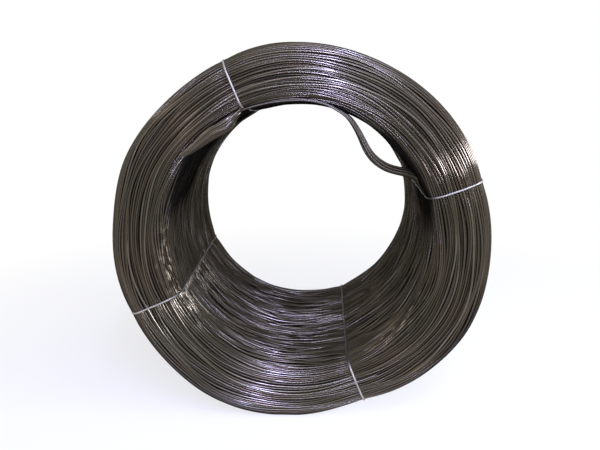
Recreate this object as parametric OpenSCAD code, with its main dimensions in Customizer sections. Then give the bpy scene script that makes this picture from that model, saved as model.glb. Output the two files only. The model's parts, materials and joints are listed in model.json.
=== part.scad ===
// Coil of spring steel wire standing on its rim, bound by four tie wires.
// The coil's axis runs along Y, the end with the sagging turns faces -Y, and the rim rests on Z = 0.

/* [Coil] */
// Diameter of the spring wire
wire_d = 5; // [3:0.5:7]
// Outside diameter of the coil
coil_od = 800; // [720:10:900]
// Diameter of the bore
bore_d = 550; // [480:10:600]
// Width of the coil along its axis
coil_w = 520; // [300:10:600]
// Rounding where an end meets the rim
rim_round_r = 30; // [20:1:40]
// Rounding where an end meets the bore
mouth_round_r = 40; // [36:1:50]
// Smallest gap between neighbouring turns
turn_gap = 0.1; // [0.05:0.05:0.5]
// Depth of the valley between two turns
valley_depth = 1.5; // [0.8:0.1:2]
// Turns in a group on the rim and in the bore
group_turns = 4; // [3:1:12]
// Width of the groove between two groups
groove_w = 6; // [3:0.5:8]
// Depth of the groove between two groups
groove_depth = 4; // [1:0.5:5]

/* [Ties] */
// Diameter of the tie wire
tie_d = 4; // [2:0.5:5]
// Depth that a tie is pulled in below the wall of the bore
tie_sink = 0.3; // [0.1:0.1:1]
// Clearance between a tie and the turns
tie_clearance = 0.3; // [0.1:0.1:0.6]
// Radius that a tie bends through at the mouth of the bore
tie_mouth_round_r = 30; // [20:1:30]
// Angle of the tie at the top
tie_top_angle = 112; // [100:1:125]
// Angle of the tie on the right
tie_right_angle = 20; // [10:1:20]
// Angle of the tie on the left
tie_left_angle = 204; // [190:1:215]
// Angle of the tie near the bottom
tie_bottom_angle = 292; // [285:1:300]
// Length of the two ends that close a tie
ends_l = 36; // [20:1:60]

/* [Sagging turns] */
// Angle of the middle of the sagging turns
dip_angle = 48; // [47:1:60]
// Distance that the turns sag inside the bore
sag = 52; // [35:1:70]
// Angle that the sagging turns bend through
sag_bend_angle = 32; // [20:1:40]
// Radius of the bend in the sagging turns
sag_bend_r = 110; // [60:5:120]
// Distance of the sagging turns behind the end
sag_depth = 25; // [22:1:27]
// Length of the sagging turns that is held in the pack
sag_held_l = 8; // [6:1:10]
// Clearance of the sagging turns where they leave the pack
sag_clearance = 0.3; // [0.1:0.1:0.6]

/* [Hidden] */

// Facets of round shapes
$fn = 96;
// Distance between strands in the sagging bundle, as a share of the wire diameter
strand_pitch_share = 0.96;
// Strands around the middle one in the sagging bundle
strands_around = 6;
// Radius of the wire that rises to a twist, as a share of the tie's
riser_share = 0.8;
// Radius of the filling behind the outer strands, as a share of the wire diameter
filling_share = 0.8;
// Size of the strands along the legs, as a share of those in the bend that they start in
leg_share = 0.98;
// Turns are set half a pitch in from where a rounding starts
half_share = 0.5;
// Length of a direction
unit = 1;
// Overrun of a cut past the surface
overrun = 2;

wire_r = wire_d / 2;
tie_r = tie_d / 2;
rim_r = coil_od / 2;
bore_r = bore_d / 2;
half_w = coil_w / 2;
turn_pitch = wire_d + turn_gap;
group_w = group_turns * turn_pitch;

// Centres of the two roundings, measured from the axis and from the middle of the coil
rim_arc_r = rim_r - rim_round_r;
mouth_arc_r = bore_r + mouth_round_r;
rim_arc_z = half_w - rim_round_r;
mouth_arc_z = half_w - mouth_round_r;

// How many pitches fit along a stretch of turns
function pitches(length) = floor(length / turn_pitch);
function arc_length(radius) = radius * PI / 2;
function polar(radius, angle) = radius * [cos(angle), sin(angle)];

rim_pitches = pitches(arc_length(rim_round_r - wire_r));
mouth_pitches = pitches(arc_length(mouth_round_r - wire_r));
end_pitches = pitches(rim_arc_r - mouth_arc_r);

// Where a tie runs: its height over the turns, and its line in the bore and round the mouth
tie_lift = tie_clearance + tie_r;
tie_bore_r = bore_r + tie_sink + tie_r;
tie_mouth_r = tie_bore_r + tie_mouth_round_r;
tie_mouth_z = half_w + tie_lift - tie_mouth_round_r;
// The slot in the bore, deep enough for the start of the tie's bend and run out into the mouth
slot_depth = tie_sink + tie_d + 4 * tie_clearance;
slot_half_l = half_w - overrun;

// Stands the coil on its rim: its own axis turns from Z to Y, with its top end to -Y
module standing() {
    translate([0, 0, rim_r]) rotate([90, 0, 0]) children();
}

// The turns that show on one end as [where the centre is, which way the crest points],
// from the rim over the end and into the mouth of the bore
end_turns = concat(
    [for (i = [0 : rim_pitches - 1])
        let (angle = 90 * (i + half_share) / rim_pitches)
            [[rim_arc_r, rim_arc_z] + polar(rim_round_r - wire_r, angle), polar(unit, angle)]],
    [for (i = [0 : end_pitches - 1])
        [[rim_arc_r - (rim_arc_r - mouth_arc_r) * (i + half_share) / end_pitches, half_w - wire_r],
            polar(unit, 90)]],
    [for (i = [0 : mouth_pitches - 1])
        let (angle = 90 + 90 * (i + half_share) / mouth_pitches)
            [[mouth_arc_r, mouth_arc_z] + polar(mouth_round_r - wire_r, angle), polar(unit, angle)]]
);

// Where the grooves between groups are, along a straight stretch of half the coil's width
function grooves(length) = [for (i = [0 : floor(length / group_w) - 1]) group_w * (i + half_share)];
rim_grooves = grooves(rim_arc_z);
bore_grooves = grooves(mouth_arc_z);

// Half of the pack's section below its valleys, from the rim to the bore
half_section = concat(
    [[rim_r, 0]],
    [for (z = rim_grooves)
        each [[rim_r, z - groove_w / 2], [rim_r - groove_depth, z], [rim_r, z + groove_w / 2]]],
    [[rim_r, rim_arc_z]],
    [for (turn = end_turns) turn[0] + (wire_r - valley_depth) * turn[1]],
    [[bore_r, mouth_arc_z]],
    [for (i = [len(bore_grooves) - 1 : -1 : 0])
        let (z = bore_grooves[i])
            each [[bore_r, z + groove_w / 2], [bore_r + groove_depth, z], [bore_r, z - groove_w / 2]]],
    [[bore_r, 0]]
);

// One half of the section with the turns that show on its end
module half_pack() {
    polygon(half_section);
    for (turn = end_turns)
        translate(turn[0]) circle(wire_r);
}

// The turned pack of wire, its turns showing as ridges on both ends
module turned_pack() {
    rotate_extrude() {
        half_pack();
        mirror([0, 1]) half_pack();
    }
}

// The slot that a tie presses into the bore, run out through both mouths
module tie_slot(angle) {
    rotate([0, 0, angle])
        translate([bore_r - overrun, -tie_r - tie_clearance, -slot_half_l])
            cube([overrun + slot_depth, tie_d + 2 * tie_clearance, 2 * slot_half_l]);
}

// A straight run of tie wire between two points of the section's plane
module tie_run(from, to) {
    run = to - from;
    translate(from) rotate([0, 0, atan2(run.y, run.x)]) rotate([0, 90, 0])
        cylinder(h = norm(run), r = tie_r);
}

// A quarter bend of tie wire in the section's plane
module tie_bend(centre, radius, start) {
    translate(centre) rotate([0, 0, start])
        rotate_extrude(angle = 90) translate([radius, 0]) circle(tie_r);
}

// The loop that a tie makes: sunk in the bore, and lying on the turns over the ends and the rim
module tie_loop() {
    tie_run([rim_r + tie_lift, -rim_arc_z], [rim_r + tie_lift, rim_arc_z]);
    tie_run([tie_bore_r, -tie_mouth_z], [tie_bore_r, tie_mouth_z]);
    for (side = [-1, 1])
        tie_run([tie_mouth_r, side * (half_w + tie_lift)], [rim_arc_r, side * (half_w + tie_lift)]);
    tie_bend([rim_arc_r, rim_arc_z], rim_round_r + tie_lift, 0);
    tie_bend([tie_mouth_r, tie_mouth_z], tie_mouth_round_r, 90);
    tie_bend([tie_mouth_r, -tie_mouth_z], tie_mouth_round_r, 180);
    tie_bend([rim_arc_r, -rim_arc_z], rim_round_r + tie_lift, 270);
}

// The two ends of a tie, raised from its loop and laid together along the rim
module tie_ends() {
    ends_r = rim_r + tie_lift + tie_d;
    translate([rim_r + tie_lift, 0, 0]) rotate([0, 90, 0])
        cylinder(h = ends_r - rim_r - tie_lift, r = tie_r * riser_share);
    translate([ends_r, -tie_d, 0]) rotate([-90, 0, 0])
        linear_extrude(ends_l)
            for (side = [-1, 1])
                translate([0, side * tie_r * strand_pitch_share]) circle(tie_r);
}

module tie(angle) {
    color("silver") standing() rotate([0, 0, angle]) {
        rotate([90, 0, 0]) tie_loop();
        tie_ends();
    }
}

// The sagging turns: one bend and two equal straight legs, in a plane across the axis.
// The legs leave the pack at the radius that the mouth has at their depth.
leave_r = mouth_arc_r - sqrt(mouth_round_r ^ 2 - (mouth_round_r - sag_depth) ^ 2);
bend_centre_r = bore_r - sag + sag_bend_r;
half_bend = sag_bend_angle / 2;
// Where a leg starts, across and along the line from the axis through the bottom of the sag
leg_start = [bend_centre_r - sag_bend_r * cos(half_bend), sag_bend_r * sin(half_bend)];
leg_reach = leg_start.x * sin(half_bend) + leg_start.y * cos(half_bend);
leg_l = sqrt(leave_r ^ 2 - leg_start * leg_start + leg_reach ^ 2) - leg_reach;

// The strands in section: six round a filling
module strands(size_share = 1) {
    circle(wire_d * filling_share * size_share);
    for (i = [0 : strands_around - 1])
        translate(polar(wire_d * strand_pitch_share, 360 * i / strands_around))
            circle(wire_r * size_share);
}

// Puts a shape where the bend is, starting at its upper leg
module at_bend() {
    translate([0, 0, half_w - sag_depth]) rotate([0, 0, dip_angle]) translate([bend_centre_r, 0, 0])
        rotate([0, 0, 180 - half_bend]) children();
}

// Lays a shape along the upper leg and along the lower leg
module along_legs() {
    translate([sag_bend_r, 0, 0]) rotate([90, 0, 0]) children();
    rotate([0, 0, sag_bend_angle]) translate([sag_bend_r, 0, 0]) rotate([-90, 0, 0]) children();
}

module sagging_turns() {
    color("dimgray") standing() at_bend() {
        rotate_extrude(angle = sag_bend_angle) translate([sag_bend_r, 0]) strands();
        along_legs() translate([0, 0, -overrun])
            linear_extrude(overrun + leg_l + sag_held_l) strands(leg_share);
    }
}

// The holes in the pack that the held ends of the sagging turns stand in
module sag_sockets() {
    socket_r = wire_r + wire_d * strand_pitch_share + sag_clearance;
    at_bend() along_legs() translate([0, 0, leg_l - 2 * socket_r])
        cylinder(h = 2 * socket_r + sag_held_l + sag_clearance, r = socket_r);
}

module wire_coil() {
    color("dimgray") standing() difference() {
        turned_pack();
        tie_slot(tie_top_angle);
        tie_slot(tie_right_angle);
        tie_slot(tie_left_angle);
        tie_slot(tie_bottom_angle);
        sag_sockets();
    }
}

module tie_top() { tie(tie_top_angle); }
module tie_right() { tie(tie_right_angle); }
module tie_left() { tie(tie_left_angle); }
module tie_bottom() { tie(tie_bottom_angle); }

wire_coil();
sagging_turns();
tie_top();
tie_right();
tie_left();
tie_bottom();
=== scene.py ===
import json
from math import cos, pi, radians, sin

import bpy
import numpy as np
from mathutils import Matrix, Vector


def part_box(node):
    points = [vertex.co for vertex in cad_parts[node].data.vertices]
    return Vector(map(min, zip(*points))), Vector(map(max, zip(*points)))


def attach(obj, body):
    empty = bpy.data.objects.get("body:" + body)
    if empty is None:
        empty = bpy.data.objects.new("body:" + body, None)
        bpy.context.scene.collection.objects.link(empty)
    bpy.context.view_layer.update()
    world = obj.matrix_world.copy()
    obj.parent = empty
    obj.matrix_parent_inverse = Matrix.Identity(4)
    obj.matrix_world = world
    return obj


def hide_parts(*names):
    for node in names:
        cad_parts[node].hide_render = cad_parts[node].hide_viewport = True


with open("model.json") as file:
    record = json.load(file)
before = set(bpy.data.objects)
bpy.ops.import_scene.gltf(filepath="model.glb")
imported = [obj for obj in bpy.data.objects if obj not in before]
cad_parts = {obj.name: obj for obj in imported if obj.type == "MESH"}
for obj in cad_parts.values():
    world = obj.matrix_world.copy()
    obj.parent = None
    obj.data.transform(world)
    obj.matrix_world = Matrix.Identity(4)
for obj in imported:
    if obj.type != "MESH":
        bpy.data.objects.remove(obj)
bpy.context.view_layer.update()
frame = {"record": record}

# Sizes that the frame gives
coil_low, coil_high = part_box("wire_coil")
RIM_R = (coil_high.x - coil_low.x) / 2
HALF_W = (coil_high.y - coil_low.y) / 2
AXIS_Z = RIM_R
BORE_R = frame["record"]["mounts"][0]["dims"]["r_mm"] / 1000

# The pack of wire
WIRE_R = 0.0025
TURN_PITCH = 0.00505
RIM_ROUND_R = 0.030
MOUTH_ROUND_R = 0.040
UNDER_DEPTH = 0.0045
CORE_INSET = 0.032
LINE_STEP = 0.0005

# The ties
TIE_R = 0.002
TIE_BITE = 0.0006
TIE_PULL = 0.0012
TIE_ANGLES = {"tie_top": 112, "tie_right": 20, "tie_left": 204, "tie_bottom": 292}
TIE_GAP = 0.006
# Radii between which painted shade darkens a tie as it runs into the bore
TIE_SHADE_RADII = (BORE_R + 0.008, BORE_R + 0.030)
TWIST_L = 0.036
TWIST_TURNS = 3.5
TWIST_START = 0.06

# Points along a tie's loop, one twisted end and one stray turn
LOOP_POINTS = 170
TWIST_POINTS = 26
STRAY_POINTS = 64

NEAR_Y = -HALF_W
FULL_TURN = 2 * pi

# The side that rests on the floor, in degrees, and how far round it reaches
LOW_ANGLE = 268
LOW_WIDTH = 60


# The line that the outermost turns follow round the coil's section

def straight_stretch(start, end, out):
    count = max(2, int(np.hypot(end[0] - start[0], end[1] - start[1]) / LINE_STEP))
    share = np.linspace(0, 1, count, endpoint=False)[:, None]
    points = np.array(start) * (1 - share) + np.array(end) * share
    return points, np.tile(np.array(out, float), (count, 1))


def rounded_stretch(centre, radius, start):
    count = int(radius * pi / 2 / LINE_STEP)
    angle = radians(start) + np.linspace(0, pi / 2, count, endpoint=False)[:, None]
    out = np.hstack([np.cos(angle), np.sin(angle)])
    return np.array(centre) + radius * out, out


def section_line(inset):
    """Closed line through the section as distances, points (radius, y) and outward directions.

    It starts in the middle of the bore and goes to the near end, over it and back along the rim.
    """
    bore = BORE_R + inset
    rim = RIM_R - inset
    end = HALF_W - inset
    mouth_r, mouth_y = BORE_R + MOUTH_ROUND_R, HALF_W - MOUTH_ROUND_R
    edge_r, edge_y = RIM_R - RIM_ROUND_R, HALF_W - RIM_ROUND_R
    stretches = [
        straight_stretch((bore, 0), (bore, -mouth_y), (-1, 0)),
        rounded_stretch((mouth_r, -mouth_y), MOUTH_ROUND_R - inset, 180),
        straight_stretch((mouth_r, -end), (edge_r, -end), (0, -1)),
        rounded_stretch((edge_r, -edge_y), RIM_ROUND_R - inset, 270),
        straight_stretch((rim, -edge_y), (rim, edge_y), (1, 0)),
        rounded_stretch((edge_r, edge_y), RIM_ROUND_R - inset, 0),
        straight_stretch((edge_r, end), (mouth_r, end), (0, 1)),
        rounded_stretch((mouth_r, mouth_y), MOUTH_ROUND_R - inset, 90),
        straight_stretch((bore, mouth_y), (bore, 0), (-1, 0)),
    ]
    points = np.vstack([points for points, out in stretches])
    outs = np.vstack([out for points, out in stretches])
    steps = np.linalg.norm(np.roll(points, -1, axis=0) - points, axis=1)
    along = np.concatenate([[0], np.cumsum(steps)])
    marks = [along[sum(len(p) for p, out in stretches[:i])] for i in range(len(stretches))]
    return along, np.vstack([points, points[:1]]), np.vstack([outs, outs[:1]]), marks


ALONG, POINTS, OUTS, MARKS = section_line(WIRE_R)
GIRTH = ALONG[-1]
MOUTH_S, FLAT_S, _, RIM_S, FAR_EDGE_S, _, FAR_MOUTH_S, FAR_BORE_S = MARKS[1:]
TURNS = round(GIRTH / TURN_PITCH)


def on_section(s):
    """Radius, y and outward direction at a distance along the section line."""
    s = np.mod(s, GIRTH)
    return [np.interp(s, ALONG, column) for column in (*POINTS.T, *OUTS.T)]


# How the turns wander

rng = np.random.default_rng(41)

# Wander of single turns: waves round the coil, and size
SLOW_ACROSS = ((1, 4), 0.0010)
BORE_ACROSS = ((3, 9), 0.0012)
FINE_ACROSS = ((10, 22), 0.0008)
SLOW_RISE = ((1, 6), 0.0013)
BORE_RISE = ((3, 11), 0.0011)
FINE_RISE = ((10, 22), 0.0005)
FINE_SHARE = 0.2
FINE_BORE_SHARE = 0.5

# Share of the bore's drift that it has everywhere, and what the low side adds
BORE_DRIFT_SHARE = 0.35
LOW_DRIFT_SHARE = 0.65

# Height and tone of single turns: middle, spread, and the spread that neighbours share
NEW_GROUP_CHANCE = 0.22
LEVEL_MIDDLE, LEVEL_SPREAD, LEVEL_GROUP_SPREAD = -0.0004, 0.0007, 0.0006
LEVEL_RANGE = (-0.0024, 0.0008)
TONE_MIDDLE, TONE_SPREAD, TONE_GROUP_SPREAD = 0.40, 0.18, 0.15

# How much a tie stills the wander, and how wide in degrees
TIE_GRIP = 0.8
TIE_GRIP_WIDTH = 6

# Turns that cross others: reach in degrees, sideways move, height, dive at the ends and tone
STRAY_REACH = (35, 85)
STRAY_MOVE = (0.006, 0.022)
STRAY_LIFT = 0.0023
STRAY_DIVE = 0.0135
STRAY_TONE = (0.3, 0.9)


def ripple(count, round_range, along_range, size):
    """A smooth wander over the whole surface, which neighbouring turns share."""
    rounds = rng.integers(round_range[0], round_range[1] + 1, count)
    alongs = rng.integers(along_range[0], along_range[1] + 1, count) * rng.choice([-1, 1], count)
    phases = rng.uniform(0, FULL_TURN, count)
    sizes = rng.uniform(0.5, 1.0, count) * size / np.sqrt(count)

    def wander(s, theta):
        total = 0
        for m, j, phase, amount in zip(rounds, alongs, phases, sizes):
            total = total + amount * np.cos(m * theta + FULL_TURN * j * s / GIRTH + phase)
        return total
    return wander


def grouped(wires, size):
    """Random amounts that a few neighbouring wires share."""
    group = np.cumsum(rng.random(wires) < NEW_GROUP_CHANCE)
    return rng.normal(0, size, group[-1] + 1)[group]


def own_wander(wires, round_range, size):
    """A wander that each wire has for itself."""
    count = round_range[1] - round_range[0] + 1
    phases = rng.uniform(0, FULL_TURN, (wires, count, 1))
    sizes = rng.uniform(0.2, 1.0, (wires, count, 1)) * size / np.sqrt(count)
    rounds = np.arange(round_range[0], round_range[1] + 1)[None, :, None]

    def wander(theta):
        return (sizes * np.cos(rounds * theta[:, None, :] + phases)).sum(axis=1)
    return wander


drift = ripple(14, (1, 4), (0, 6), 0.0026)
bore_drift = ripple(18, (2, 7), (2, 14), 0.0062)
weave = ripple(24, (4, 10), (18, 44), 0.0028)
heave = ripple(16, (1, 5), (6, 34), 0.0016)
far_bulge = ripple(6, (2, 5), (0, 0), 0.0050)


def turn_between(theta, angle):
    """Angle from a place given in degrees, the short way round, in degrees."""
    return (np.degrees(theta) - angle + 180) % 360 - 180


def bump(x, width):
    return np.exp(-(x / width) ** 2 / 2)


def ramp(x, start, end):
    share = np.clip((x - start) / (end - start), 0, 1)
    return share * share * (3 - 2 * share)


def bore_share(s):
    """1 in the bore, 0 on the ends and the rim."""
    s = np.mod(s, GIRTH)
    return 1 - ramp(s, MOUTH_S, FLAT_S) * (1 - ramp(s, FAR_MOUTH_S, FAR_BORE_S))


def low_side(theta):
    """1 at the side on the floor, falling to 0 away from it."""
    return bump(turn_between(theta, LOW_ANGLE), LOW_WIDTH)


def tie_hold(theta, width):
    """1 under a tie, falling to 0 away from it."""
    return sum(bump(turn_between(theta, angle), width) for angle in TIE_ANGLES.values())


# The near end is out of round: angle in degrees, height, width in degrees
OUTLINE = (
    (332, 0.0115, 13), (289, -0.0110, 10), (246, 0.0120, 13), (152, 0.0030, 9), (95, 0.0055, 14),
    (132, -0.0050, 13), (172, -0.0062, 14), (15, -0.0030, 16),
)


def out_of_round(r, y, theta):
    """How far the rim stands out or in, which fades to nothing at the bore."""
    near = sum(height * bump(turn_between(theta, angle), width) for angle, height, width in OUTLINE)
    fade = 1 - ramp(y, -HALF_W, HALF_W)
    outer = np.clip((r - BORE_R) / (RIM_R - BORE_R), 0, 1)
    return outer * (near * fade + far_bulge(0, theta) * (1 - fade))


# The loose turns have left the top of the near mouth: how deep, and how far it opens into the bore
LEFT_DEPTH = 0.0155
LEFT_REACH = 0.19
LEFT_OPENS = (MOUTH_S - LEFT_REACH, MOUTH_S - 0.01)
LEFT_CLOSES = (MOUTH_S + 0.030, FLAT_S + 0.004)
LEFT_START_ANGLES = (38, 78)
LEFT_END_ANGLES = (132, 154)

# Dents under the ties: a narrow one, what the bore adds to it, and a wide one, with widths in degrees
DENT_DEPTH, DENT_BORE_DEPTH, DENT_WIDTH = 0.0012, 0.0022, 2.4
DIP_DEPTH, DIP_WIDTH = 0.0018, 9


def left_place(s, theta):
    """1 where the loose turns lay before they came away, 0 elsewhere."""
    s = np.mod(s, GIRTH)
    opening = ramp(s, *LEFT_OPENS) * (1 - ramp(s, *LEFT_CLOSES))
    angle = np.mod(np.degrees(theta) + 90, 360) - 90
    return opening * ramp(angle, *LEFT_START_ANGLES) * (1 - ramp(angle, *LEFT_END_ANGLES))


def sinking(s, theta):
    """Depth that ties and loose turns take out of the surface."""
    dent = (DENT_DEPTH + DENT_BORE_DEPTH * bore_share(s)) * tie_hold(theta, DENT_WIDTH)
    total = dent + DIP_DEPTH * tie_hold(theta, DIP_WIDTH)
    return total + LEFT_DEPTH * left_place(s, theta)


def place(s, theta, lift):
    """Points in space: s along the section, theta round the coil, lift out of the pack."""
    drift_share = BORE_DRIFT_SHARE + LOW_DRIFT_SHARE * low_side(theta)
    moved = s + drift(s, theta) + weave(s, theta)
    moved = moved + bore_share(s) * drift_share * bore_drift(s, theta)
    r, y, out_r, out_y = on_section(moved)
    height = lift + heave(s, theta) - sinking(s, theta)
    r = r + out_r * height
    y = y + out_y * height
    r = r + out_of_round(r, y, theta)
    z = np.maximum(AXIS_Z + r * np.sin(theta), WIRE_R)
    return np.stack([r * np.cos(theta), y, z], axis=-1)


# Painted shade: amounts, depths behind the near end, radii, and angles up from the low side in degrees
WALL_SHADE, SIDE_WALL_SHADE = 0.12, 0.18
WALL_DEPTHS = (0.016, 0.040)
WALL_ANGLES = (65, 95)
LIP_DEPTHS = (0.010, 0.025)
TOP_LIP_DEEPER = (0.016, 0.020)
LIP_END_DEPTHS = (0.14, 0.30)
LIP_ANGLES = (85, 115)
TOP_ANGLES = (135, 160)
MOUTH_RADII = (BORE_R + 0.024, BORE_R + 0.040)
UNDER_SHADE = 0.6
UNDER_RADII = (RIM_R - 0.020, RIM_R - 0.002)
UNDER_ANGLES = (60, 95)


def painted_shade(points):
    """How dark painted shade makes the wire.

    It is darkest just behind the upper lip, lighter in the bore and under the rim.
    """
    x, y, z = points.T
    radius = np.hypot(x, z - AXIS_Z)
    from_floor = np.abs(turn_between(np.arctan2(z - AXIS_Z, x), LOW_ANGLE))
    depth = y - NEAR_Y
    wall = ramp(depth, *WALL_DEPTHS) * (WALL_SHADE + SIDE_WALL_SHADE * ramp(from_floor, *WALL_ANGLES))
    top = ramp(from_floor, *TOP_ANGLES)
    lip_start, lip_full = [at + deeper * top for at, deeper in zip(LIP_DEPTHS, TOP_LIP_DEEPER)]
    lip = ramp(depth, lip_start, lip_full) * (1 - ramp(depth, *LIP_END_DEPTHS))
    lip = lip * ramp(from_floor, *LIP_ANGLES)
    inside = 1 - ramp(radius, *MOUTH_RADII)
    under = UNDER_SHADE * ramp(radius, *UNDER_RADII) * (1 - ramp(from_floor, *UNDER_ANGLES))
    return inside * np.clip(wall + lip, 0, 1) + under


# Where handling has rubbed the lip of the near mouth, painted pale so that it also stands in for glints:
# angle in degrees, strength, width in degrees
RUB_GLINT_PLACES = ((196, 1.0, 13), (318, 0.4, 12))
RUB_GLINT_DEPTH = 0.021
RUB_GLINT_HALF_WIDTH = 0.010
RUB_GLINT_RADII = (BORE_R + 0.028, BORE_R + 0.040)


def rubbed_and_glinting_lip(points):
    """How much handling has rubbed the wire bright, painted pale so that it also serves as painted glints:
    in places along the lip of the near mouth.
    """
    x, y, z = points.T
    theta = np.arctan2(z - AXIS_Z, x)
    lip = bump(y - NEAR_Y - RUB_GLINT_DEPTH, RUB_GLINT_HALF_WIDTH)
    lip = lip * (1 - ramp(np.hypot(x, z - AXIS_Z), *RUB_GLINT_RADII))
    return lip * sum(amount * bump(turn_between(theta, angle), width) for angle, amount, width in RUB_GLINT_PLACES)


# Wire as tubes

def wire_mesh(name, runs, marks=None):
    """One object from runs of wire; a run is (points, radius, sides, closed, tone of each wire).

    Each mark is a function that gives an attribute of that name from the points of the skin.
    """
    verts, corners, starts, tones = [], [], [], []
    first = 0
    loops = 0
    for points, radius, sides, closed, tone in runs:
        wires, count = points.shape[:2]
        if closed:
            forward = np.roll(points, -1, axis=1) - np.roll(points, 1, axis=1)
        else:
            forward = np.gradient(points, axis=1)
        forward /= np.linalg.norm(forward, axis=2, keepdims=True)
        side = carried_side(forward, closed)
        third = np.cross(forward, side)
        angle = np.arange(sides) * FULL_TURN / sides
        ring = (np.cos(angle)[None, None, :, None] * side[:, :, None, :]
                + np.sin(angle)[None, None, :, None] * third[:, :, None, :])
        skin = points[:, :, None, :] + radius * ring
        verts.append(skin.reshape(-1, 3))
        if tone.ndim == 1:
            tone = np.broadcast_to(tone[:, None], (wires, count))
        tones.append(np.repeat(tone.ravel(), sides))

        index = first + np.arange(wires * count * sides).reshape(wires, count, sides)
        here, after = index, np.roll(index, -1, axis=1)
        if not closed:
            here, after = here[:, :-1], after[:, :-1]
        quads = np.stack([here, np.roll(here, -1, axis=2), np.roll(after, -1, axis=2), after], axis=-1)
        corners.append(quads.reshape(-1))
        starts.append(loops + 4 * np.arange(quads.size // 4))
        loops += quads.size
        if not closed:
            caps = np.concatenate([index[:, 0, ::-1], index[:, -1]])
            corners.append(caps.reshape(-1))
            starts.append(loops + sides * np.arange(len(caps)))
            loops += caps.size
        first += wires * count * sides

    verts = np.vstack(verts)
    corners = np.concatenate(corners)
    starts = np.concatenate(starts)
    mesh = bpy.data.meshes.new(name)
    mesh.vertices.add(len(verts))
    mesh.vertices.foreach_set("co", verts.astype(np.float32).ravel())
    mesh.loops.add(len(corners))
    mesh.loops.foreach_set("vertex_index", corners.astype(np.int32))
    mesh.polygons.add(len(starts))
    mesh.polygons.foreach_set("loop_start", starts.astype(np.int32))
    mesh.update(calc_edges=True)
    mesh.validate()
    mesh.polygons.foreach_set("use_smooth", np.ones(len(mesh.polygons), bool))
    attribute = mesh.attributes.new("tone", "FLOAT", "POINT")
    attribute.data.foreach_set("value", np.concatenate(tones).astype(np.float32))
    for mark, measure in (marks or {}).items():
        attribute = mesh.attributes.new(mark, "FLOAT", "POINT")
        attribute.data.foreach_set("value", measure(verts).astype(np.float32))
    piece = bpy.data.objects.new(name, mesh)
    bpy.context.scene.collection.objects.link(piece)
    return piece


def carried_side(forward, closed):
    """A direction across each wire, carried along it without twisting."""
    if closed:
        side = np.zeros_like(forward)
        side[..., 1] = 1
        side -= (side * forward).sum(axis=2, keepdims=True) * forward
        return side / np.linalg.norm(side, axis=2, keepdims=True)
    side = np.zeros_like(forward)
    start = np.where(np.abs(forward[:, 0, 1:2]) < 0.7, [[0.0, 1.0, 0.0]], [[1.0, 0.0, 0.0]])
    for i in range(forward.shape[1]):
        start = start - (start * forward[:, i]).sum(axis=1, keepdims=True) * forward[:, i]
        start = start / np.linalg.norm(start, axis=1, keepdims=True)
        side[:, i] = start
    return side


def smooth_line(points, steps):
    """A smooth open line that follows its points closely (a cubic B-spline, with its ends kept)."""
    points = np.asarray(points, float)
    ends = np.concatenate([2 * points[:1] - points[1:2], points, 2 * points[-1:] - points[-2:-1]])
    t = np.linspace(0, 1, steps, endpoint=False)[:, None, None]
    a, b, c, d = ends[:-3], ends[1:-2], ends[2:-1], ends[3:]
    line = ((1 - t) ** 3 * a + (3 * t ** 3 - 6 * t ** 2 + 4) * b
            + (-3 * t ** 3 + 3 * t ** 2 + 3 * t + 1) * c + t ** 3 * d) / 6
    return np.concatenate([line.transpose(1, 0, 2).reshape(-1, points.shape[1]), points[-1:]])


def finish_piece(piece, finish, slot, *nodes):
    piece.data.materials.append(finish)
    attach(piece, "root")
    if nodes:
        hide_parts(*nodes)


def turns_between(start, end, depth, sides, segments, shift=0.0):
    """Closed turns of one layer of the pack, between two distances along the section."""
    s = (np.arange(TURNS) + 0.5 + shift) * GIRTH / TURNS
    s = s[(s >= start) & (s < end)][:, None]
    wires = len(s)
    theta = np.arange(segments) * FULL_TURN / segments
    theta = theta[None, :] + np.zeros((wires, 1))
    in_bore = bore_share(s)
    loose = 1 + in_bore * low_side(theta)
    fine = FINE_SHARE + FINE_BORE_SHARE * in_bore
    held = 1 - TIE_GRIP * np.clip(tie_hold(theta, TIE_GRIP_WIDTH), 0, 1)
    across = held * (own_wander(wires, *SLOW_ACROSS)(theta)
                     + in_bore * loose * own_wander(wires, *BORE_ACROSS)(theta)
                     + fine * own_wander(wires, *FINE_ACROSS)(theta))
    level = rng.normal(LEVEL_MIDDLE, LEVEL_SPREAD, wires) + grouped(wires, LEVEL_GROUP_SPREAD)
    level = np.clip(level, *LEVEL_RANGE)[:, None]
    rise = held * (level + own_wander(wires, *SLOW_RISE)(theta)
                   + in_bore * loose * own_wander(wires, *BORE_RISE)(theta)
                   + in_bore * own_wander(wires, *FINE_RISE)(theta))
    points = place(s + across, theta, rise - depth)
    tone = rng.normal(TONE_MIDDLE, TONE_SPREAD, wires) + grouped(wires, TONE_GROUP_SPREAD)
    tone = np.clip(tone, 0, 1)
    return points, WIRE_R, sides, True, tone


def stray_turns(count, start, end, sides=8):
    """Wires that cross their neighbours on the surface and go under them at both ends."""
    runs = []
    for i in range(count):
        s = rng.uniform(start, end)
        middle = rng.uniform(0, FULL_TURN)
        reach = radians(rng.uniform(*STRAY_REACH))
        move = rng.choice([-1, 1]) * rng.uniform(*STRAY_MOVE)
        share = np.linspace(-1, 1, STRAY_POINTS)
        theta = middle + reach * share
        lift = STRAY_LIFT - STRAY_DIVE * np.abs(share) ** 3
        line = place(s + move * (share - 0.5 * share ** 3), theta, lift)
        runs.append((line[None], WIRE_R, sides, False, rng.uniform(*STRAY_TONE, 1)))
    return runs


# Finishes

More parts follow.
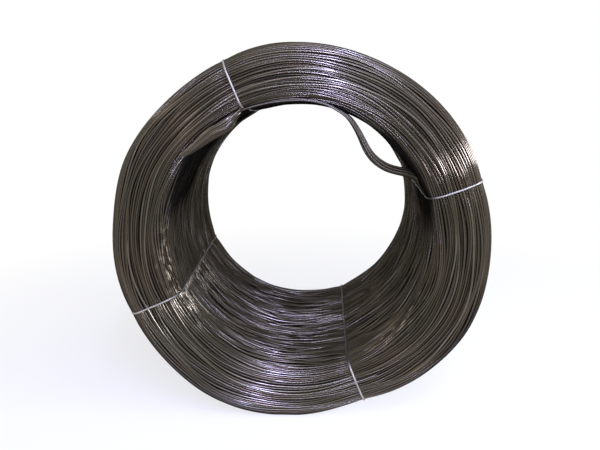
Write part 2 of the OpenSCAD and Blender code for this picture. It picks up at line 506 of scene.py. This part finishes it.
class Value:
    """A shader socket that takes part in Python arithmetic."""

    def __init__(self, finish, socket):
        self.finish = finish
        self.socket = socket

    def output(self, name):
        return Value(self.finish, self.socket.node.outputs[name])

    def maths(self, operation, first, second):
        return self.finish.node("ShaderNodeMath", {"operation": operation}, {0: first, 1: second})

    def __add__(self, other):
        return self.maths("ADD", self, other)

    def __mul__(self, other):
        return self.maths("MULTIPLY", self, other)

    __radd__ = __add__
    __rmul__ = __mul__

    def at_least(self, other):
        return self.maths("MAXIMUM", self, other)


class Finish:
    """A material or a world made from nodes."""

    def __init__(self, owner):
        owner.use_nodes = True
        self.owner = owner
        self.tree = owner.node_tree
        self.tree.nodes.clear()

    def node(self, kind, settings=None, inputs=None, output=0):
        made = self.tree.nodes.new(kind)
        for name, setting in (settings or {}).items():
            if name == "stops":
                self.set_stops(made.color_ramp, setting)
            else:
                setattr(made, name, setting)
        for name, value in (inputs or {}).items():
            if isinstance(value, Value):
                self.tree.links.new(value.socket, made.inputs[name])
            else:
                made.inputs[name].default_value = value
        return Value(self, made.outputs[output]) if len(made.outputs) else made

    def set_stops(self, color_ramp, stops):
        for stop, (position, level) in zip(color_ramp.elements, stops):
            stop.position = position
            stop.color = (level, level, level, 1)

    def mix(self, factor, first, second):
        return self.node("ShaderNodeMix", {"data_type": "RGBA"}, {0: factor, 6: first, 7: second}, 2)

    def noise(self, vector, scale, detail=2.0, roughness=0.5):
        return self.node("ShaderNodeTexNoise", {}, {
            "Vector": vector, "Scale": scale, "Detail": detail, "Roughness": roughness})

    def ramp(self, value, *stops):
        return self.node("ShaderNodeValToRGB", {"stops": stops}, {"Fac": value})


def colour(r, g, b):
    return (r, g, b, 1.0)


def drawn_wire_finish():
    """Dark drawn spring steel with a thin film of oil, browned in places, with painted shade in the bore,
    behind the upper lip and under the rim, and pale rubbed places on the lip that also serve as painted
    glints.
    """
    finish = Finish(bpy.data.materials.new("drawn_spring_steel"))
    coords = finish.node("ShaderNodeTexCoord").output("Object")
    tone = finish.node("ShaderNodeAttribute", {"attribute_name": "tone"}).output("Fac")
    apart = finish.node("ShaderNodeCombineXYZ", {}, {"X": tone * 37.0, "Y": tone * 53.0, "Z": tone * 71.0})
    own = finish.node("ShaderNodeVectorMath", {"operation": "ADD"}, {0: coords, 1: apart})

    streak = finish.ramp(finish.noise(own, 9.0, 3.0), (0.36, 0), (0.64, 1))
    patch = finish.ramp(finish.noise(coords, 7.0, 3.0), (0.42, 0), (0.62, 1))
    film = finish.noise(own, 24.0, 2.0)
    fleck = finish.ramp(finish.noise(coords, 420.0, 3.0, 0.6), (0.56, 0), (0.74, 1))

    steel = finish.mix(tone, colour(0.019, 0.016, 0.011), colour(0.174, 0.151, 0.108))
    browned = finish.mix(streak * 0.6, steel, colour(0.062, 0.042, 0.024))
    olive = finish.mix(patch * 0.45, browned, colour(0.048, 0.045, 0.025))
    dirt = finish.mix(fleck * 0.15, olive, colour(0.022, 0.018, 0.015))
    # Painted shade: the shade attribute darkens the colour towards black where the wire lies in shade, and
    # makes it fully metallic and rougher there
    shade = finish.node("ShaderNodeAttribute", {"attribute_name": "shade"}).output("Fac")
    shaded = finish.mix(shade * 0.95, dirt, colour(0.004, 0.004, 0.003))

    # Rubbed wear on the lip, painted pale so that it also stands in for glints
    rub_and_glint = finish.node("ShaderNodeAttribute", {"attribute_name": "rub_and_glint"}).output("Fac")
    drawn_out = finish.node("ShaderNodeVectorMath", {"operation": "MULTIPLY"}, {0: coords, 1: (1, 3, 1)})
    scuff_and_glint = rub_and_glint * finish.ramp(finish.noise(drawn_out, 50.0, 4.0, 0.6), (0.50, 0), (0.61, 1))
    scuffed_and_glinting = finish.mix(scuff_and_glint * 0.95, shaded, colour(0.46, 0.385, 0.245))

    grain = finish.noise(own, 160.0, 1.0)
    relief = finish.node("ShaderNodeBump", {}, {"Strength": 0.02, "Distance": 0.0005, "Height": grain})
    finish.node("ShaderNodeOutputMaterial", {}, {"Surface": finish.node("ShaderNodeBsdfPrincipled", {}, {
        "Base Color": scuffed_and_glinting,
        "Metallic": 0.85 + 0.15 * shade,
        "Roughness": 0.115 + 0.07 * film + 0.40 * shade + 0.15 * scuff_and_glint,
        "Specular Tint": colour(0.25, 0.23, 0.21),
        "Normal": relief,
    })})
    return finish.owner


def tie_finish():
    """Soft galvanised wire, lighter and darker in patches, with painted shade that makes it nearly black
    inside the bore.
    """
    finish = Finish(bpy.data.materials.new("galvanised_tie_wire"))
    coords = finish.node("ShaderNodeTexCoord").output("Object")
    cloud = finish.ramp(finish.noise(coords, 60.0, 3.0), (0.35, 0), (0.65, 1))
    spangle = finish.noise(coords, 600.0, 2.0)
    unshaded = finish.node("ShaderNodeAttribute", {"attribute_name": "tone"}).output("Fac")
    zinc = finish.mix(cloud, colour(0.25, 0.23, 0.18), colour(0.36, 0.33, 0.26))
    # Painted shade: where the tie runs inside the bore its colour goes nearly black; the tone attribute
    # carries the unshaded share here
    zinc = finish.mix(unshaded, colour(0.050, 0.047, 0.042), zinc)
    relief = finish.node("ShaderNodeBump", {}, {"Strength": 0.15, "Distance": 0.0003, "Height": spangle})
    finish.node("ShaderNodeOutputMaterial", {}, {"Surface": finish.node("ShaderNodeBsdfPrincipled", {}, {
        "Base Color": zinc,
        "Metallic": 0.75,
        "Roughness": 0.46 + 0.14 * spangle,
        "Normal": relief,
    })})
    return finish.owner


def core_finish():
    """The dark inside of the pack, seen only through gaps; its near-black colour is painted shade."""
    finish = Finish(bpy.data.materials.new("dark_inside"))
    coords = finish.node("ShaderNodeTexCoord").output("Object")
    shade = finish.noise(coords, 80.0, 2.0)
    finish.node("ShaderNodeOutputMaterial", {}, {"Surface": finish.node("ShaderNodeBsdfPrincipled", {}, {
        "Base Color": finish.mix(shade, colour(0.010, 0.009, 0.008), colour(0.022, 0.019, 0.017)),
        "Roughness": 0.8,
    })})
    return finish.owner


WIRE = drawn_wire_finish()
TIE = tie_finish()
CORE = core_finish()


# The dark core under the turns, spun round the axis

def core_piece():
    bpy.ops.object.select_all(action="DESELECT")
    inner, outer = BORE_R + CORE_INSET, RIM_R - CORE_INSET
    middle = Vector(((inner + outer) / 2, 0, AXIS_Z))
    bpy.ops.mesh.primitive_plane_add(size=1, location=middle, rotation=(pi / 2, 0, 0))
    core = bpy.context.object
    core.name = core.data.name = "inner_turns"
    core.rotation_euler = (0, 0, 0)
    core.scale = (outer - inner, 2 * (HALF_W - CORE_INSET), 1)
    bpy.ops.object.transform_apply(location=True, rotation=True, scale=True)
    bpy.ops.object.mode_set(mode="EDIT")
    bpy.ops.mesh.select_all(action="SELECT")
    bpy.ops.mesh.bevel(offset=RIM_ROUND_R / 2, segments=5, affect="VERTICES")
    bpy.ops.mesh.select_all(action="SELECT")
    bpy.ops.mesh.delete(type="ONLY_FACE")
    bpy.ops.mesh.select_all(action="SELECT")
    bpy.ops.mesh.spin(steps=128, angle=FULL_TURN, center=(0, 0, AXIS_Z), axis=(0, 1, 0))
    bpy.ops.mesh.select_all(action="SELECT")
    bpy.ops.mesh.remove_doubles(threshold=0.00002)
    bpy.ops.mesh.normals_make_consistent(inside=False)
    bpy.ops.object.mode_set(mode="OBJECT")
    bpy.ops.object.shade_smooth_by_angle(angle=radians(40))
    finish_piece(core, CORE, "wire", "wire_coil")


core_piece()


# The turns of the pack

def pack_piece(name, runs):
    # The shade mark is painted shade; the rub mark is rubbed wear painted pale enough to serve as glints
    # too
    marks = {"shade": painted_shade, "rub_and_glint": rubbed_and_glinting_lip}
    finish_piece(wire_mesh(name, runs, marks), WIRE, "wire", "wire_coil")


pack_piece("near_end_turns", [
    turns_between(MOUTH_S, RIM_S, 0, sides=8, segments=192),
    *stray_turns(14, MOUTH_S, RIM_S)])
pack_piece("rim_turns", [
    turns_between(RIM_S, FAR_EDGE_S, 0, sides=6, segments=160),
    *stray_turns(16, RIM_S, FAR_EDGE_S)])
pack_piece("far_end_turns", [
    turns_between(FAR_EDGE_S, FAR_BORE_S, 0, sides=7, segments=180),
    *stray_turns(10, FAR_EDGE_S, FAR_BORE_S)])
pack_piece("bore_turns", [
    turns_between(0, MOUTH_S, 0, sides=6, segments=160),
    turns_between(FAR_BORE_S, GIRTH, 0, sides=6, segments=160),
    *stray_turns(9, 0, MOUTH_S),
    *stray_turns(9, FAR_BORE_S, GIRTH)])
pack_piece("rim_under_turns", [
    turns_between(RIM_S, FAR_EDGE_S, UNDER_DEPTH, sides=4, segments=96, shift=0.5)])
pack_piece("under_turns", [
    turns_between(0, RIM_S, UNDER_DEPTH, sides=5, segments=128, shift=0.5),
    turns_between(FAR_EDGE_S, GIRTH, UNDER_DEPTH, sides=4, segments=96, shift=0.5)])


# The loose turns

LOOSE_SIDES = 10
LOOSE_STEPS = 6
LOOSE_WANDER = 0.0006


def on_ring(angle, radius):
    return radius * cos(radians(angle)), radius * sin(radians(angle))


def loose_bundle(name, line, spreads, depth, strands, turn, tones, shade, nodes):
    """Strands along a line of (x, z) points from the axis, spread across it and along the axis."""
    line = np.array(line)
    forward = np.gradient(line, axis=0)
    forward /= np.linalg.norm(forward, axis=1, keepdims=True)
    across = np.stack([-forward[:, 1], forward[:, 0]], axis=1)
    spread = np.array(spreads)
    twist = np.linspace(0, turn, len(line))
    runs = []
    for a, b in strands:
        u = (a * np.cos(twist) - b * np.sin(twist)) * spread[:, 0]
        v = (a * np.sin(twist) + b * np.cos(twist)) * spread[:, 1]
        u = u + rng.normal(0, LOOSE_WANDER, len(line))
        v = v + rng.normal(0, LOOSE_WANDER, len(line))
        flat = line + across * u[:, None]
        points = np.stack([flat[:, 0], NEAR_Y + np.array(depth) + v, AXIS_Z + flat[:, 1]], axis=1)
        strand = smooth_line(points, LOOSE_STEPS)[None]
        runs.append((strand, WIRE_R, LOOSE_SIDES, False, rng.uniform(*tones, 1)))

    def even_shade(points):
        return np.full(len(points), shade)

    finish_piece(wire_mesh(name, runs, {"shade": even_shade}), WIRE, "wire", *nodes)


SAG_LINE = [
    on_ring(128, 0.3120), on_ring(122, 0.3040), on_ring(115, 0.3000), on_ring(104, 0.2975),
    on_ring(95, 0.2965), on_ring(88, 0.2955), on_ring(82, 0.2930), on_ring(77, 0.2890),
    on_ring(73, 0.2830),
    (0.1010, 0.2600), (0.1205, 0.2290), (0.1335, 0.2025), (0.1470, 0.1800), (0.1725, 0.1610),
    (0.1950, 0.1530), (0.2125, 0.1500), (0.2310, 0.1440), (0.2490, 0.1330),
    on_ring(22, 0.2850), on_ring(16, 0.2900), on_ring(10, 0.2940), on_ring(4, 0.2960),
]
SAG_SPREAD = [(0.0012, 0.007)] * 9 + [
    (0.0020, 0.007), (0.0032, 0.007), (0.0040, 0.006), (0.0048, 0.0055), (0.0050, 0.0055),
    (0.0050, 0.0055), (0.0050, 0.006), (0.0048, 0.007), (0.0045, 0.007)] + [(0.003, 0.008)] * 4
SAG_DEPTH = [0.044, 0.036] + [0.030] * 8 + [
    0.028, 0.026, 0.025, 0.026, 0.030, 0.036, 0.044, 0.050] + [0.054] * 4
SAG_STRANDS = [(-1, -0.9), (-0.9, 0.1), (-1, 1), (0, -1), (0.1, 0), (0, 1), (1, -0.8), (0.9, 0.2), (1, 1)]
loose_bundle("sagging_strands", SAG_LINE, SAG_SPREAD, SAG_DEPTH, SAG_STRANDS,
             turn=0.9, tones=(0.25, 0.8), shade=0.45, nodes=["sagging_turns"])

FLAP_LINE = [
    on_ring(106, 0.3160), on_ring(110, 0.3060), on_ring(113, 0.2975), on_ring(115, 0.2910),
    on_ring(117.5, 0.2850), on_ring(119.5, 0.2790), on_ring(123.5, 0.2790), on_ring(127.5, 0.2830),
    on_ring(132, 0.2855), on_ring(136, 0.2880), on_ring(140, 0.2925), on_ring(144, 0.2980),
    on_ring(149, 0.3040), on_ring(154, 0.3090), on_ring(160, 0.3130),
]
FLAP_SPREAD = [(0.0015, 0.008)] * 3 + [(0.002, 0.009), (0.0035, 0.010)] + [(0.006, 0.011)] * 3 + [
    (0.0045, 0.011), (0.0035, 0.010)] + [(0.003, 0.010)] * 5
FLAP_DEPTH = [0.050, 0.042, 0.034, 0.027] + [0.022] * 7 + [0.024, 0.026, 0.030, 0.036]
FLAP_STRANDS = [
    (-2.7, -1.3), (-2.3, -1.4), (-1.85, -1.15), (-1.5, -1.25),
    (-1.1, -1), (-0.7, -0.7), (-0.35, -0.3), (0, 0), (0.3, 0.3), (0.65, 0.7), (1, 1)]
loose_bundle("loose_flap", FLAP_LINE, FLAP_SPREAD, FLAP_DEPTH, FLAP_STRANDS,
             turn=0.0, tones=(0.2, 1.0), shade=0.0, nodes=["wire_coil"])


# The ties

def tie_piece(name, angle):
    """One wire: a twisted end, the loop round the section, and the other twisted end."""
    theta = radians(angle)
    rim_middle = (RIM_S + FAR_EDGE_S) / 2
    lift = WIRE_R + TIE_R - TIE_BITE
    s = np.linspace(rim_middle + TIE_GAP, rim_middle + GIRTH - TIE_GAP, LOOP_POINTS)
    loop = place(s, np.full_like(s, theta), lift - TIE_PULL * bore_share(s))

    def end_of_twist(side):
        share = np.linspace(TWIST_START, 1, TWIST_POINTS)
        turn = side * pi / 2 + FULL_TURN * TWIST_TURNS * share
        arc = theta + share * TWIST_L / RIM_R
        middle = place(np.full_like(share, rim_middle), arc, np.full_like(share, lift + TIE_R))
        out = np.stack([np.cos(arc), np.zeros_like(arc), np.sin(arc)], axis=1)
        middle = middle + TIE_R * (np.cos(turn)[:, None] * out)
        middle[:, 1] += TIE_R * np.sin(turn)
        return middle

    path = np.concatenate([end_of_twist(1)[::-1], loop, end_of_twist(-1)])
    line = smooth_line(path, 2)
    radius = np.hypot(line[:, 0], line[:, 2] - AXIS_Z)
    # Painted shade: the tie is painted dark where it runs inside the bore
    unshaded = ramp(radius, *TIE_SHADE_RADII)
    runs = [(line[None], TIE_R, 8, False, unshaded[None])]
    finish_piece(wire_mesh(name + "_wire", runs), TIE, "tie", name)


for tie_name, tie_angle in TIE_ANGLES.items():
    tie_piece(tie_name, tie_angle)


# Floor, light and camera

FLOOR_SIZE = 60
FLOOR_FADE = (0.5, 1.5)
FLOOR_WHITE_SHARE = 0.72


def floor_finish():
    """Pale floor that runs out into the white background."""
    finish = Finish(bpy.data.materials.new("pale_floor"))
    coords = finish.node("ShaderNodeTexCoord").output("Object")
    reach = finish.node("ShaderNodeVectorMath", {"operation": "LENGTH"}, {0: coords}).output("Value")
    far = finish.node("ShaderNodeMapRange", {}, {
        "Value": reach, "From Min": FLOOR_FADE[0], "From Max": FLOOR_FADE[1],
        "To Min": FLOOR_WHITE_SHARE, "To Max": 1.0})
    near = finish.node("ShaderNodeBsdfDiffuse", {}, {"Color": colour(0.80, 0.79, 0.73)})
    white = finish.node("ShaderNodeEmission", {}, {"Color": colour(1, 1, 1), "Strength": 1.0})
    finish.node("ShaderNodeOutputMaterial", {}, {
        "Surface": finish.node("ShaderNodeMixShader", {}, {0: far, 1: near, 2: white})})
    return finish.owner


bpy.ops.object.select_all(action="DESELECT")
bpy.ops.mesh.primitive_plane_add(size=FLOOR_SIZE, location=(0, 0, 0))
floor = bpy.context.object
floor.name = "floor"
floor.data.materials.append(floor_finish())


def white_room():
    """White to the camera and in reflections, and soft light for everything else."""
    world = bpy.data.worlds.new("white_room")
    bpy.context.scene.world = world
    finish = Finish(world)
    path = finish.node("ShaderNodeLightPath")
    seen = path.output("Is Camera Ray").at_least(path.output("Is Glossy Ray"))
    seen = seen.at_least(path.output("Is Transmission Ray"))
    soft = finish.node("ShaderNodeBackground", {}, {"Color": colour(1, 1, 1), "Strength": 0.3})
    white = finish.node("ShaderNodeBackground", {}, {"Color": colour(1, 1, 1), "Strength": 1.0})
    finish.node("ShaderNodeOutputWorld", {}, {
        "Surface": finish.node("ShaderNodeMixShader", {}, {0: seen, 1: soft, 2: white})})


white_room()


def strip_lamp(name, direction, distance, width, length, brightness, tint):
    """A long area lamp that faces the coil, its length in the plane of the coil's axis.

    Its length lights a broad band round each wire, and its width sets how far along the wire that shows.
    """
    data = bpy.data.lights.new(name, "AREA")
    data.shape = "RECTANGLE"
    data.size, data.size_y = width, length
    data.energy = brightness * pi * width * length
    data.color = tint
    strip = bpy.data.objects.new(name, data)
    bpy.context.scene.collection.objects.link(strip)
    away = Vector(direction).normalized()
    along = Vector((0, 1, 0)) - away.y * away
    along.normalize()
    turned = Matrix((along.cross(away), along, away)).transposed()
    strip.matrix_world = Matrix.Translation(Vector((0, 0, AXIS_Z)) + away * distance) @ turned.to_4x4()


# Name, direction from the coil's middle, distance, width, length, brightness and tint
LAMPS = (
    ("key_softbox", (0.095, -0.89, 0.44), 3.0, 1.7, 3.4, 4.9, (0.54, 0.585, 1.0)),
    ("key_strip", (0.095, -0.89, 0.44), 2.9, 0.08, 3.9, 145, (0.39, 0.425, 1.0)),
    ("right_strip", (0.79, -0.59, 0.20), 2.6, 0.13, 3.0, 15, (0.62, 0.67, 1.0)),
    ("mouth_strip", (0.92, -0.32, 0.26), 2.4, 0.30, 1.2, 70, (0.66, 0.70, 1.0)),
    ("upper_strip", (0.40, -0.45, 0.80), 2.6, 0.8, 2.0, 4.5, (0.50, 0.54, 1.0)),
    ("left_strip", (-0.68, -0.60, 0.48), 2.4, 0.18, 2.0, 4, (1.0, 0.96, 0.92)),
)
for lamp in LAMPS:
    strip_lamp(*lamp)

# The camera stands in front of the near end, a little above the axis
TILT = 0.2489
PAN = 0.0363
LENS_MM = 37.9
SENSOR_MM = 36
CAMERA_PLACE = (0.0480, -1.5094, 0.7621)
camera_data = bpy.data.cameras.new("camera")
camera_data.lens = LENS_MM
camera_data.sensor_width = SENSOR_MM
camera = bpy.data.objects.new("camera", camera_data)
camera.location = CAMERA_PLACE
camera.rotation_euler = (pi / 2 - TILT, 0, PAN)
bpy.context.scene.collection.objects.link(camera)
bpy.context.scene.camera = camera
bpy.context.scene.view_settings.view_transform = "Standard"

bpy.context.view_layer.update()
